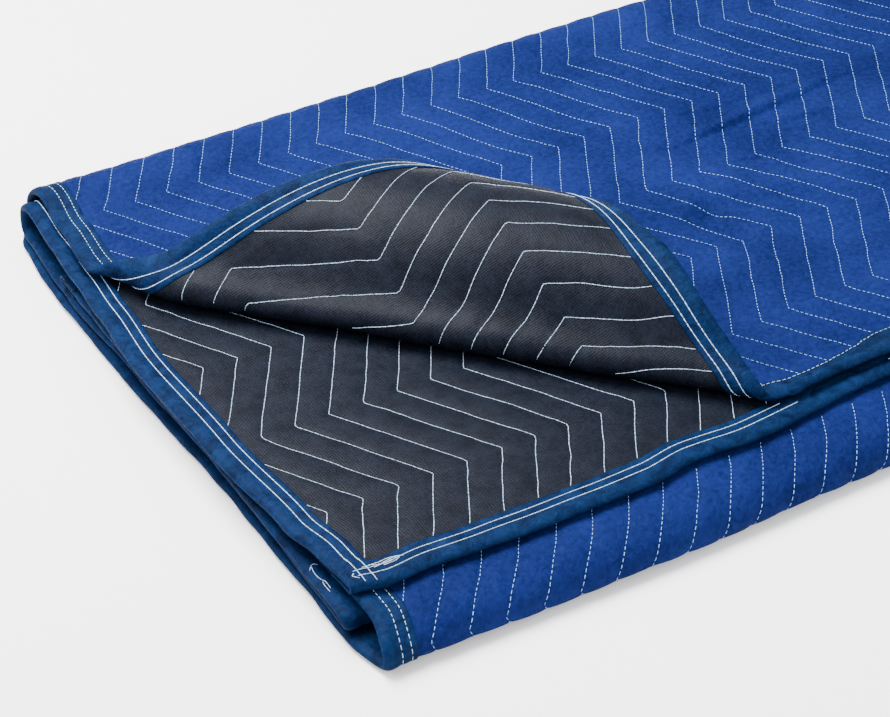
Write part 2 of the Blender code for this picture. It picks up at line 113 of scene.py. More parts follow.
# The rolled corner: a line on the top layer and the profile of the cloth beyond it
roll = {
    "start": (-0.005, 0.449),
    "angle": math.radians(46.5),
    "span": 0.560,
    "nearUnder": 0.60,                  # as far from the left edge the layer under it counts
    "taper": 0.22,
    "leftFlare": (0.020, 0.072),        # the roll begins this much sooner at its end, over this length
    "rightFlare": (0.005, 0.064),
    # how far the cloth is drawn back along the line, at the roll's right and left ends, each over this length
    "drawnRight": (0.0066, 0.30),
    "drawnLeft": (0.0041, 0.25),
    "drawnOver": 0.10,                  # and growing to that over this much cloth beyond the line
    # length, turn in degrees
    "profile": ((0.026, 168), (0.034, -41), (0.130, 74), (0.060, 34), (0.040, -46), (0.038, -10)),
}
rollAlong = np.array((math.cos(roll["angle"]), -math.sin(roll["angle"])))
rollAcross = np.array((-math.sin(roll["angle"]), -math.cos(roll["angle"])))


def smooth(t):
    t = np.clip(t, 0.0, 1.0)
    return t * t * (3 - 2 * t)


def tableValue(places, values, at):
    row = np.clip(np.searchsorted(places, at, side="right") - 1, 0, len(places) - 2)
    places, values = np.asarray(places), np.asarray(values)
    share = smooth((at - places[row]) / (places[row + 1] - places[row]))
    return values[row] + (values[row + 1] - values[row]) * share


def levelZ(level):
    return folding["floorLayerZ"] + level * folding["layerPitch"]


def roundPower(value, squareness):
    return np.sign(value) * np.abs(value) ** (2 / squareness)


def bendPoint(turn, apex, reach, zFrom, zTo, shape, away):
    squareness, lean = shape
    depth = apex - away * reach * (1 - roundPower(np.sin(turn), squareness))
    share = (1 - roundPower(np.cos(turn), squareness)) / 2
    return depth, zFrom + (zTo - zFrom) * share ** lean


def bendTable(bend, inner):
    # how the turn grows with the length of cloth round a bend, and that length
    levels, shape = folding["sections"][bend][1 if inner else 0::2]
    apexes, reach = bends[bend][inner]
    away = 1 if bend == far else -1
    turns = np.linspace(0, math.pi, 61)
    depth, z = bendPoint(turns, apexes[0], reach, levelZ(levels[0]), levelZ(levels[1]), shape, away)
    lengths = np.concatenate([[0], np.cumsum(np.hypot(np.diff(depth), np.diff(z)))])
    return turns, lengths / lengths[-1], lengths[-1]


bendTurns = {(bend, inner): bendTable(bend, inner) for bend in (far, front) for inner in (False, True)}
farStart = farApex - bends[far][0][1]
frontStart = frontApex + bends[front][0][1]
lengths = [farStart - folding["frontEdge"][0][1], bendTurns[far, False][2], farStart - frontStart,
           bendTurns[front, False][2]]
lengths.append(stripLength - sum(lengths))
lengths = np.array(lengths)
starts = np.concatenate([[0], np.cumsum(lengths)[:-1]])
middleEnd = frontStart + lengths[middle]
rightFold = 0.5 * math.pi * (folding["rightFoldReach"] + folding["layerPitch"] / 2)
fullWidth = 2 * halfWidth + rightFold
pileCentre = np.array(((halfWidth + folding["rightFoldReach"] + folding["clothThick"] / 2
                        - max(max(row[2:]) for row in folding["edgeOut"])) / 2,
                       (folding["stackDepth"] + folding["skew"] * halfWidth - folding["frontBendOut"]) / 2,
                       0.0))


def edgeOut(inner, along):
    places = [starts[row[0]] + row[1] * lengths[row[0]] for row in folding["edgeOut"]]
    return tableValue(places, [row[3 if inner else 2] for row in folding["edgeOut"]], along)


def frontEdge(inner, x):
    rows = folding["frontEdge"]
    return tableValue([row[0] for row in rows], [row[2 if inner else 1] for row in rows], x)


def layerProfile(inner, along, x):
    # depth and height of one half's middle, where the strip is cut at x
    section = np.clip(np.searchsorted(starts, along, side="right") - 1, 0, 4)
    part = (along - starts[section]) / lengths[section]
    rightward = np.clip(x / halfWidth, 0, 1)
    apex = {}
    for bend, halves in bends.items():
        left, right = halves[inner][0]
        apex[bend] = left + (right - left) * rightward
    if not inner:
        apex[front] = apex[front] - tableValue(*zip(*folding["frontBow"]), x)
    farFrom = apex[far] - bends[far][inner][1]
    frontFrom = apex[front] + bends[front][inner][1]
    end = middleEnd + (folding["innerEndExtra"] * (1 - rightward) if inner else 0)
    runs = {top: (frontEdge(inner, x), farFrom), bottom: (farFrom, frontFrom), middle: (frontFrom, end)}
    depth = np.zeros_like(along)
    z = np.zeros_like(along)
    for index in range(5):
        here = section == index
        levels, shape = folding["sections"][index][1 if inner else 0::2]
        ends = [levelZ(level) for level in levels]
        if index in bends:
            turns, shares, _ = bendTurns[index, inner]
            turn = np.interp(part, shares, turns)
            away = 1 if index == far else -1
            depthHere, zHere = bendPoint(turn, apex[index], bends[index][inner][1], *ends, shape, away)
        else:
            first, last = runs[index]
            depthHere = first + (last - first) * part
            zHere = ends[0] + 0 * depthHere
        depth = np.where(here, depthHere, depth)
        z = np.where(here, zHere, z)
    return depth, z


def rollTable(step=0.001, soften=0.009):
    ends = np.cumsum([row[0] for row in roll["profile"]])

    def heading(at):
        total, done = 0.0, 0.0
        for end, (length, turn) in zip(ends, roll["profile"]):
            total += math.radians(turn) * min(max((at - done) / length, 0.0), 1.0)
            done = end
        return total

    rows, run, rise = [(0.0, 0.0)], 0.0, 0.0
    for i in range(360):
        here = (i + 0.5) * step
        near = [heading(here + soften * (j - 3) / 3) for j in range(7)]
        angle = sum(near) / len(near) * float(smooth(here / soften))
        run += math.cos(angle) * step
        rise += math.sin(angle) * step
        rows.append((run, rise))
    return np.arange(361) * step, np.array(rows)


rollPlaces, rollRows = rollTable()


def rollFlare(beside):
    (left, leftLong), (right, rightLong) = roll["leftFlare"], roll["rightFlare"]
    return left * (1 - smooth(beside / leftLong)) + right * smooth((beside - 0.5 + rightLong) / rightLong)


def besideAndBeyond(x, y):
    # place along the roll's line, distance past it, the flare there and the profile's scale
    offX, offY = x - roll["start"][0], y - roll["start"][1]
    beside = offX * rollAlong[0] + offY * rollAlong[1]
    beyond = offX * rollAcross[0] + offY * rollAcross[1]
    scale = 1 + roll["taper"] * (beside / roll["span"] - 0.5)
    (right, rightLong), (left, leftLong) = roll["drawnRight"], roll["drawnLeft"]
    drawn = right * smooth((beside - leftLong) / rightLong) + left * (1 - smooth(beside / leftLong))
    beside = beside - drawn * smooth(beyond / roll["drawnOver"])
    flare = rollFlare(beside)
    return beside, beyond + flare, flare, scale


def beyondRoll(across, along, inner=False):
    # how far past the roll's line a place on the cloth lies, at the profile's own scale; on the outer
    # half that is the layer which is rolled, on the inner half the one under it
    x = fullWidth - across if inner else across
    depth, _ = layerProfile(inner, along, x)
    _, beyond, _, scale = besideAndBeyond(x, depth + folding["skew"] * x)
    near = across > fullWidth - roll["nearUnder"] if inner else across < halfWidth
    return np.where(near & (along < lengths[top]), beyond * scale, -1.0)


def unevenness(x, depth):
    # how much higher or lower than even the pile lies, as a share of its height
    waves = 0.020 * np.sin(5.1 * x + 1.3) * np.cos(6.4 * depth - 0.6)
    waves = waves + 0.014 * np.sin(11.0 * x - 7.0 * depth + 0.4)
    farRidge = (0.07 + 0.02 * (1 - smooth(x / 0.13))) * smooth((depth - 0.545) / 0.055)
    return waves * smooth(x / 0.10) + farRidge


def placed(across, along):
    # middle of the cloth
    over = (across - halfWidth) / rightFold
    x = np.where(over <= 0, across, np.where(over < 1, halfWidth, fullWidth - across))
    turn = math.pi * np.clip(over, 0.0, 1.0)
    outerShare = (1 + np.cos(turn)) / 2
    outerDepth, outerZ = layerProfile(False, along, x)
    innerDepth, innerZ = layerProfile(True, along, x)
    depth = outerShare * outerDepth + (1 - outerShare) * innerDepth
    z = outerShare * outerZ + (1 - outerShare) * innerZ
    outHere = edgeOut(False, along) * outerShare + edgeOut(True, along) * (1 - outerShare)
    worldX = x - outHere * (1 - x / halfWidth) + folding["rightFoldReach"] * np.sin(turn)
    ripple = tableValue(*zip(*folding["frontRipple"]), x) * (1 - smooth((along - 0.025) / 0.055))
    worldY = depth + folding["skew"] * x - (1 - outerShare) * ripple

    beside, beyond, flare, scale = besideAndBeyond(worldX, worldY)
    rolled = (over <= 0) & (along < lengths[top]) & (beyond > 0)
    run = np.interp(beyond * scale, rollPlaces, rollRows[:, 0]) / scale - flare
    rise = np.interp(beyond * scale, rollPlaces, rollRows[:, 1]) / scale
    worldX = np.where(rolled, roll["start"][0] + rollAlong[0] * beside + rollAcross[0] * run, worldX)
    worldY = np.where(rolled, roll["start"][1] + rollAlong[1] * beside + rollAcross[1] * run, worldY)
    z = np.where(rolled, z + rise, z)

    inside = smooth((x - 0.030) / 0.040)
    z = z - (folding["floorLayerZ"] - folding["clothThick"] / 2) * inside
    z = z * (1 + unevenness(x, depth) * smooth((z - 0.004) / 0.020))
    return np.stack([worldX, worldY, z], -1) - pileCentre


def unit(vectors):
    return vectors / np.maximum(np.linalg.norm(vectors, axis=-1, keepdims=True), 1e-12)


def outwards(across, along, step=0.0006):
    low, high = np.maximum(along - step, 0.0), np.minimum(along + step, stripLength)
    beside = placed(across + step, along) - placed(across - step, along)
    ahead = placed(across, high) - placed(across, low)
    return unit(np.cross(beside, ahead))


def cloudy(u, v, size, seed):
    # soft noise from -1 to 1 over the flat cloth
    grid = np.random.default_rng(seed).random((64, 64)) * 2 - 1
    u, v = u / size + 640, v / size + 640
    i, j = np.floor(u).astype(int), np.floor(v).astype(int)
    du, dv = smooth(u - i), smooth(v - j)
    i, j = i % 64, j % 64
    i1, j1 = (i + 1) % 64, (j + 1) % 64
    return ((grid[i, j] * (1 - du) + grid[i1, j] * du) * (1 - dv)
            + (grid[i, j1] * (1 - du) + grid[i1, j1] * du) * dv)


# Creases of the top layer beside the roll: places on the flat cloth, height and width
creases = {
    "longCrease": (((0.50, 0.365), (0.54, 0.350), (0.63, 0.355), (0.75, 0.370), (0.81, 0.365)),
                   -0.0025, 0.0030),
    "foldAbove": (((0.545, 0.365), (0.60, 0.360), (0.745, 0.380)), 0.0032, 0.0058),
    "upperCrease": (((0.535, 0.405), (0.61, 0.385), (0.74, 0.385)), -0.0018, 0.0030),
    "foldBelow": (((0.50, 0.350), (0.545, 0.310), (0.56, 0.245)), 0.0045, 0.0080),
    "softHollow": (((0.525, 0.260), (0.50, 0.235), (0.525, 0.150)), -0.0068, 0.0160),
    "shortCrease": (((0.575, 0.305), (0.605, 0.290)), -0.0018, 0.0030),
    "sideCrease": (((0.64, 0.340), (0.68, 0.335), (0.73, 0.325)), 0.0020, 0.0040),
}


def creased(across, along):
    total = np.zeros(np.shape(across))
    for line, height, width in creases.values():
        nearest = np.full(np.shape(across), 1.0)
        share = np.zeros(np.shape(across))
        for k, ((u, v), (u1, v1)) in enumerate(zip(line, line[1:])):
            runU, runV = u1 - u, v1 - v
            t = np.clip(((across - u) * runU + (along - v) * runV) / (runU ** 2 + runV ** 2), 0, 1)
            gap = np.hypot(across - u - t * runU, along - v - t * runV)
            share = np.where(gap < nearest, (k + t) / (len(line) - 1), share)
            nearest = np.minimum(nearest, gap)
        total = total + height * np.exp(-(nearest / width) ** 2) * np.sqrt(np.sin(math.pi * share).clip(0))
    return total


# Waves of the whole cloth: height, size, seed
waves = {
    "everywhere": ((0.0004, 0.085, 1), (0.00025, 0.034, 2)),
    "onTop": ((0.0014, 0.150, 3), (0.0007, 0.050, 4)),
    "crumpled": ((0.0014, 0.030, 5), (0.0006, 0.016, 6)),
    "sewing": ((0.0009, 0.019, 9), (0.0004, 0.007, 8)),        # the sewing machine's small swerves
    "topRise": 0.0014,                  # the top layer lies this much higher, all over
    "crumpledPlace": (0.60, 0.28),
    "crumpledReach": 0.13,
}


def wavesOf(kind, across, along):
    return sum(height * cloudy(across, along, size, seed) for height, size, seed in waves[kind])


def rumple(across, along):
    # how far the whole cloth lies off its even place
    outerHalf = 1 - smooth((across - halfWidth + 0.06) / 0.06)
    onTop = outerHalf * (1 - smooth((along - lengths[top] + 0.02) / 0.06))
    (midAcross, midAlong), reach = waves["crumpledPlace"], waves["crumpledReach"]
    crumpled = np.exp(-((across - midAcross) / reach) ** 2 - ((along - midAlong) / reach) ** 2)
    upward = waves["topRise"] + wavesOf("onTop", across, along)
    upward = upward + crumpled * wavesOf("crumpled", across, along)
    return wavesOf("everywhere", across, along) + onTop * upward + creased(across, along)


def carried(across, along, out):
    across, along = np.asarray(across, float), np.asarray(along, float)
    return placed(across, along) + outwards(across, along) * (out + rumple(across, along))[..., None]


# The quilting: zigzag rows, a line of stitches where its count is whole

quilting = {
    "pitch": 0.0306,
    "half": 0.10595,            # along, from one turn of the zigzag to the next
    "swing": 0.06366,
    "outerStart": 0.04777,
    "outerTurn": 0.5362,
    "innerStart": -0.0380,
    "innerTurn": 0.3005,
    "innerBack": 0.028,         # from the inner half's rows at the back to the far bend's apex
    "faceLow": 0.0020,
    "faceHigh": 0.0034,
    "liningLow": 0.0021,
    "liningHigh": 0.0031,
    "edgeHalf": 0.0020,
    "pressedOver": (0.0302, 0.010),     # flat as far in as this, then softly up over that much
    "evenPuff": 0.75,                   # where the cloth hardly shows
    "faceWaves": (0.00018, 0.013),      # height and size
}
pitch, halfTurn, swing = quilting["pitch"], quilting["half"], quilting["swing"]


def zigzag(phase):
    phase = np.mod(phase, 2.0)
    return np.where(phase < 1, phase, 2 - phase)


def outerPhase(across, along):
    return (quilting["outerTurn"] - along - folding["skew"] * across) / halfTurn


# How far the rows of quilting wander on the outer half
drift = {
    # on the roll, across and along: at a place on it, and how much more per metre across and along from there
    "rollPlace": (0.20, 0.15),
    "rollAcross": (0.0032, 0.056, -0.0148),
    "rollAlong": (-0.0044, 0.0093, -0.009),
    "rollEdge": 0.008,              # across, by the front edge of the roll
    "middle": -0.011,               # along, halfway across the top layer
    "back": 0.010,                  # along, at the back of the top layer
    # round the front bend: across at the left edge, more per metre to the right, as far as; and along
    "frontAcross": (-0.0125, 0.036, 0.30),
    "frontAlong": -0.0757,
}


def quiltDrift(across, along):
    onRoll = smooth(beyondRoll(across, along) / 0.06)
    aside, ahead = across - drift["rollPlace"][0], along - drift["rollPlace"][1]
    driftAcross, driftAlong = (onRoll * (fixed + perAside * aside + perAhead * ahead)
                               for fixed, perAside, perAhead in (drift["rollAcross"], drift["rollAlong"]))
    byTheEdge = smooth((across - 0.17) / 0.07) * (1 - smooth((along - 0.027) / 0.075))
    driftAcross = driftAcross + drift["rollEdge"] * onRoll * byTheEdge
    onTop = (1 - onRoll) * (1 - smooth((along - lengths[top]) / 0.10))
    nearMiddle = np.exp(-((across - 0.41) / 0.07) ** 2) * (1 - smooth((along - 0.44) / 0.06))
    atBack = smooth((across - 0.12) / 0.25) * smooth((along - 0.44) / 0.08)
    driftAlong = driftAlong + onTop * (drift["middle"] * nearMiddle + drift["back"] * atBack)
    driftAcross = driftAcross + onTop * edgeOut(False, along) * (1 - across / halfWidth)
    toFront = smooth((along - 0.70) / 0.50)
    atLeft, perMetre, asFarAs = drift["frontAcross"]
    driftAcross = driftAcross + (atLeft + perMetre * np.minimum(across, asFarAs)) * toFront
    return driftAcross, driftAlong + drift["frontAlong"] * toFront


def regularPlace(across, along):
    # where a place would lie if the quilting didn't wander
    steadyAcross, steadyAlong = across, along
    for _ in range(8):
        driftAcross, driftAlong = quiltDrift(steadyAcross, steadyAlong)
        steadyAcross, steadyAlong = across - driftAcross, along - driftAlong
    return steadyAcross, steadyAlong


def innerPhase(x, along):
    first = frontEdge(True, x)
    depth = first + along * (farApex - quilting["innerBack"] - first) / lengths[top]
    return (quilting["innerTurn"] - depth - folding["skew"] * x) / halfTurn


def innerShift(x, along):
    return quilting["innerStart"] + edgeOut(True, along) * (1 - x / halfWidth) + swing


def quiltCount(across, along):
    steadyAcross, steadyAlong = regularPlace(across, along)
    turned = swing * zigzag(outerPhase(steadyAcross, steadyAlong))
    outer = (steadyAcross - quilting["outerStart"] - turned) / pitch
    x = fullWidth - across
    inner = -(x - innerShift(x, along) + swing * zigzag(innerPhase(x, along))) / pitch
    gap = (fullWidth - quilting["innerStart"] - quilting["outerStart"] - swing) / pitch
    blend = smooth((0.95 - x) / 0.40) * (across > halfWidth)
    return outer * (1 - blend) + (inner + round(gap)) * blend


def puffed(across, along):
    count = quiltCount(across, along)
    off = np.abs(count - np.round(count)) * 2
    return np.sqrt(np.clip(1 - (1 - off) ** 2, 0, 1))


def insetOf(across, along):
    return np.minimum(np.minimum(across, fullWidth - across), np.minimum(along, stripLength - along))


def halfThick(across, along, onFace, fine):
    low, high = ((quilting["faceLow"], quilting["faceHigh"]) if onFace
                 else (quilting["liningLow"], quilting["liningHigh"]))
    soft = low + (high - low) * np.where(fine, puffed(across, along), quilting["evenPuff"])
    height, size = quilting["faceWaves"]
    soft = soft + np.where(fine, height * cloudy(across, along, size, 7 + onFace), 0.0)
    flatTo, softOver = quilting["pressedOver"]
    inTape = 1 - smooth((insetOf(across, along) - flatTo) / softOver)
    return soft * (1 - inTape) + quilting["edgeHalf"] * inTape


tape = {
    "width": 0.027,
    "clothEdge": 0.0040,
    # in from the edge, half the thickness there
    "outside": ((0.0270, 0.00245), (0.0265, 0.00300), (0.0245, 0.00305), (0.0220, 0.00270), (0.0198, 0.00300),
                (0.0180, 0.00312), (0.0162, 0.00300), (0.0140, 0.00268), (0.0118, 0.00315), (0.0092, 0.00370),
                (0.0064, 0.00385), (0.0038, 0.00355), (0.0016, 0.00275), (0.0002, 0.00150), (-0.0004, 0.0)),
    "pocket": ((0.0270, 0.00212), (0.0140, 0.00212), (0.0036, 0.00212), (0.0020, 0.00120), (0.0016, 0.0)),
    # near a corner: how much higher an end's tape lies over a side's, how far in, and over how much it falls
    "ride": (0.00112, 0.0275, 0.004),
    # and the side's tape under it: its greatest half thickness, how far in, and over how much it recovers
    "covered": (0.00295, 0.029, 0.012),
    # how far from the cloth's corner a side's tape and an end's tape begin
    "sideStart": 0.0036,
    "endStart": 0.0004,
    # the tape's surface waves: height and size, and larger ones by their share of that height and size
    "waves": ((0.00012, 0.0125), (0.6, 0.030)),
    "looseBeyond": (0.008, 0.006),      # no row holds the tape down nearer the edge than this, softly
    "looseWaves": 0.00030,              # how much higher the waves are there
    "edgeWaves": (0.0007, 0.026),       # of its outer edge: height and size
    "sewnWaves": (0.00025, 0.006),      # of its sewn edges
    # how much narrower the front binding lies on the blue side, at places along it
    "narrower": ((0.0, 0.0), (0.372, 0.0), (0.398, 0.0085), (0.420, 0.0128), (0.435, 0.0136), (0.452, 0.0128),
                 (0.470, 0.0100), (0.490, 0.0070), (0.503, 0.0025), (0.515, 0.0), (2.1, 0.0)),
    "heldEdge": 0.0036,         # the outermost strip, which isn't drawn in
}


def narrowed(places, inset):
    # where an inset lies once the binding is drawn in
    lost = tableValue(*zip(*tape["narrower"]), places)
    held = tape["heldEdge"]
    share = 1 - lost / (tape["width"] - held)
    return np.where(inset > held, held + (inset - held) * share, inset)


# The cloth's four sides: length, and the flat place at a distance along and in from it
clothSides = {
    "front": (fullWidth, lambda p, inset: (p, 0 * p + inset)),
    "back": (fullWidth, lambda p, inset: (p, 0 * p + stripLength - inset)),
    "outer": (stripLength, lambda p, inset: (0 * p + inset, p)),
    "inner": (stripLength, lambda p, inset: (0 * p + fullWidth - inset, p)),
}

# How close together the points of the meshes lie
spacing = {
    "edge": 0.005,
    "tape": 0.0045,
    "farBend": 0.0038,
    "frontBend": 0.0028,
    "roll": 0.0022,
    "rightFold": 0.0018,
    "hidden": 0.018,
    "margins": (0.010, 0.018, 0.0262, 0.0300),
    "heelLines": (-0.003, 0.0455, 0.0024),      # past the roll's line: first, last, step
    "heelPlaces": (0.006, 0.62, 0.006),         # the same, along the roll's line
    "creaseLines": (-1.9, -1.2, -0.6, 0.0, 0.6, 1.2, 1.9),      # in widths of the crease
    "creasePlaces": 0.003,
}


def edgePlaces(side, widest):
    # places along an edge, closer where the cloth turns tightly
    length, placeAt = clothSides[side]
    fine = np.linspace(0, length, 6001)
    across, along = placeAt(fine, 0)
    beyond = beyondRoll(across, along)
    apart = np.full(len(fine), widest)
    apart[(along > starts[far]) & (along < starts[bottom])] = spacing["farBend"]
    apart[(along > starts[front]) & (along < starts[middle])] = spacing["frontBend"]
    apart[(beyond > -0.006) & (beyond < 0.036)] = spacing["roll"]
    apart[np.abs(across - halfWidth - rightFold / 2) < rightFold / 2 + 0.002] = spacing["rightFold"]
    count = np.concatenate([[0], np.cumsum(np.diff(fine) / ((apart[1:] + apart[:-1]) / 2))])
    return np.interp(np.linspace(0, count[-1], int(round(count[-1])) + 1), count, fine)


def boundary():
    # points round the cloth's edge, and the places along each of its sides
    low = tape["clothEdge"]
    rows, points = {}, []
    for side, order in (("front", 1), ("inner", 1), ("back", -1), ("outer", -1)):
        length, placeAt = clothSides[side]
        places = edgePlaces(side, spacing["edge"])
        rows[side] = low + (places - places[0]) / (places[-1] - places[0]) * (length - low - low)
        points.append(np.stack(placeAt(rows[side], low), -1)[::order][:-1])
    return np.concatenate(points), rows


def marginRows(rows):
    # rows of points under the bindings
    points = []
    for inset in spacing["margins"]:
        for side, (length, placeAt) in clothSides.items():
            row = rows[side]
            keep = row[(row > inset + 0.001) & (row < length - inset - 0.001)]
            points.append(np.stack(placeAt(keep, inset), -1))
    points.append(np.array([(a, b) for a in spacing["margins"] for b in spacing["margins"]]))
    return np.concatenate(points)


def quiltPoints(steps, shares, inner=False):
    # points in rows along the lines of stitching and between them
    perTurn = 20
    columns = np.array([c + share for c in range(-6, 42) for share in shares])
    rows = np.arange(-260, 220, steps) / perTurn
    count, phase = (grid.ravel() for grid in np.meshgrid(columns, rows))
    if not inner:
        across = quilting["outerStart"] + count * pitch + swing * zigzag(phase)
        along = quilting["outerTurn"] - folding["skew"] * across - phase * halfTurn
        driftAcross, driftAlong = quiltDrift(across, along)
        return np.stack([across + driftAcross, along + driftAlong], -1)
    x = quilting["innerStart"] + count * pitch + swing * (1 - zigzag(phase))
    for _ in range(4):
        first = frontEdge(True, x)
        depth = quilting["innerTurn"] - phase * halfTurn - folding["skew"] * x
        along = (depth - first) * lengths[top] / (farApex - quilting["innerBack"] - first)
        x = (quilting["innerStart"] + count * pitch + swing * (1 - zigzag(phase))
             + edgeOut(True, along) * (1 - x / halfWidth))
    return np.stack([fullWidth - x, along], -1)


def heelRows():
    # rows of points running with the roll, close together where it turns
    points = []
    for line in np.arange(*spacing["heelLines"]):
        for beside in np.arange(*spacing["heelPlaces"]):
            scale = 1 + roll["taper"] * (beside / roll["span"] - 0.5)
            beyond = line / scale - rollFlare(beside)
            plan = np.array(roll["start"]) + rollAlong * beside + rollAcross * beyond
            first = frontEdge(False, plan[0])
            along = (plan[1] - folding["skew"] * plan[0] - first) / (farStart - first) * lengths[top]
            points.append((plan[0], along))
    return np.array(points)


def creaseRows(widest=0.006):
    # rows of points beside each crease, where it is a narrow one
    points = []
    for line, _, width in creases.values():
        if width > widest:
            continue
        line = np.array(line)
        at = np.concatenate([[0], np.cumsum(np.hypot(*np.diff(line, axis=0).T))])
        marks = np.arange(0, at[-1], spacing["creasePlaces"])
        centre = np.stack([np.interp(marks, at, line[:, 0]), np.interp(marks, at, line[:, 1])], -1)
        ahead = unit(np.gradient(centre, axis=0))
        aside = np.stack([-ahead[:, 1], ahead[:, 0]], -1)
        points += [centre + aside * share * width for share in spacing["creaseLines"]]
    return np.concatenate(points)


def hiddenGrid(first=0.04, last=0.036):
    columns, rows = np.meshgrid(np.arange(first, fullWidth - last, spacing["hidden"]),
                                np.arange(first, stripLength - last, spacing["hidden"]))
    return np.stack([columns.ravel(), rows.ravel()], -1)


def zoneOf(points, onFace, heelEnd=0.0445):
    # 3 on the roll's tight turn, 2 where the cloth shows well, 1 where it shows a little, 0 where it's hidden
    across, along = points.T
    beyond = beyondRoll(across, along)
    zone = np.zeros(len(points), int)
    if onFace:
        onBend = (along > starts[front] - 0.035) & (along < starts[middle] + 0.015)
        zone[(across < halfWidth + rightFold + 0.012) & ((along < starts[bottom] + 0.035) | onBend)] = 2
        zone[beyond > heelEnd] = 1
    else:
        zone[beyond > heelEnd] = 2
        zone[beyondRoll(across, along, inner=True) > -0.055] = 2
    zone[(beyond > -0.0045) & (beyond < heelEnd + 0.0017)] = 3
    return zone


def flatSide(onFace, edge, margin):
    # all points of one side of the cloth: each set fills one zone, between two places across
    close = (0, 0.09, 0.25, 0.5, 0.75, 0.91)
    anywhere, outerHalf, innerHalf = (0, fullWidth), (0, halfWidth), (halfWidth + rightFold, fullWidth)
    if onFace:
        sets = [(quiltPoints(1, close), 2, anywhere), (quiltPoints(2, (0, 0.25, 0.5, 0.75)), 1, anywhere),
                (creaseRows(), 2, anywhere)]
    else:
        sets = [(quiltPoints(1, close), 2, outerHalf), (quiltPoints(1, close, inner=True), 2, innerHalf)]
    sets += [(heelRows(), 3, anywhere), (hiddenGrid(), 0, anywhere)]
    parts = [edge, margin]
    for points, zone, (low, high) in sets:
        points = points[insetOf(*points.T) > 0.0335]
        keep = (zoneOf(points, onFace) == zone) & (points[:, 0] > low) & (points[:, 0] < high)
        parts.append(points[keep])
    return np.concatenate(parts)


def signedVolume(vertices, faces):
    a, b, c = (vertices[faces[:, i]] for i in range(3))
    return float(np.einsum("ij,ij->i", a, np.cross(b, c)).sum()) / 6


def addMesh(name, vertices, faces, materials, flats=None, which=None):
    mesh = bpy.data.meshes.new(name)
    facesInwards = signedVolume(vertices, faces) < 0
    vertices = np.array(vertices, np.float32)
    # pressed flat by the floor
    press, below = folding["pressed"]
    vertices[:, 2] += press * (1 - smooth((vertices[:, 2] + press) / below))
    mesh.from_pydata(vertices, [], faces, shade_flat=False)
    for finish in materials:
        mesh.materials.append(finish)
    if which is not None:
        mesh.polygons.foreach_set("material_index", np.asarray(which, np.int32))
    if flats is not None:
        layer = mesh.uv_layers.new(name="flat")
        layer.data.foreach_set("uv", np.asarray(flats, np.float32)[faces.ravel()].ravel())
    mesh.shade_smooth()
    made = bpy.data.objects.new(name, mesh)
    bpy.context.collection.objects.link(made)
    if facesInwards:
        mesh.flip_normals()
    return made


def triangulated(points):
    _, _, triangles, *_ = delaunay_2d_cdt([Vector(p) for p in points], [], [], 0, 1e-7)
    triangles = np.array(triangles)
    a, b, c = (points[triangles[:, i]] for i in range(3))
    turn = (b[:, 0] - a[:, 0]) * (c[:, 1] - a[:, 1]) - (b[:, 1] - a[:, 1]) * (c[:, 0] - a[:, 0])
    triangles = np.where((turn > 0)[:, None], triangles, triangles[:, ::-1])
    return triangles[np.abs(turn) > 1e-11]


def makeCloth():
    edge, rows = boundary()
    margin = marginRows(rows)
    vertices, flats, faces, which, count = [], [], [], [], 0
    for onFace in (True, False):
        points = flatSide(onFace, edge, margin)
        zone = zoneOf(points, onFace)
        half = halfThick(*points.T, onFace, zone >= 1)
        vertices.append(carried(*points.T, half if onFace else -half))
        triangles = triangulated(points)
        faces.append((triangles if onFace else triangles[:, ::-1]) + count)
        which.append(np.full(len(triangles), 0 if onFace else 1))
        flats.append(points)
        print("cloth side", onFace, len(points), "points", len(triangles), "triangles")
        count += len(points)
    first, second = np.arange(len(edge)), np.roll(np.arange(len(edge)), -1)
    under = len(flats[0])
    faces.append(np.stack([second, first, first + under], -1))
    faces.append(np.stack([second, first + under, second + under], -1))
    which.append(np.zeros(2 * len(edge), int))
    return addMesh("blanket_cloth", np.concatenate(vertices), np.concatenate(faces),
                   [faceMaterial(), liningMaterial()], np.concatenate(flats), np.concatenate(which))


def tapeHalf(inset):
    rows = sorted(tape["outside"])
    return np.interp(inset, [row[0] for row in rows], [row[1] for row in rows])


def rideLift(inside):
    # how much higher an end's tape lies near its corners, where it goes over a side's tape
    lift, asFarAs, over = tape["ride"]
    return lift * (1 - smooth((inside - asFarAs) / over))


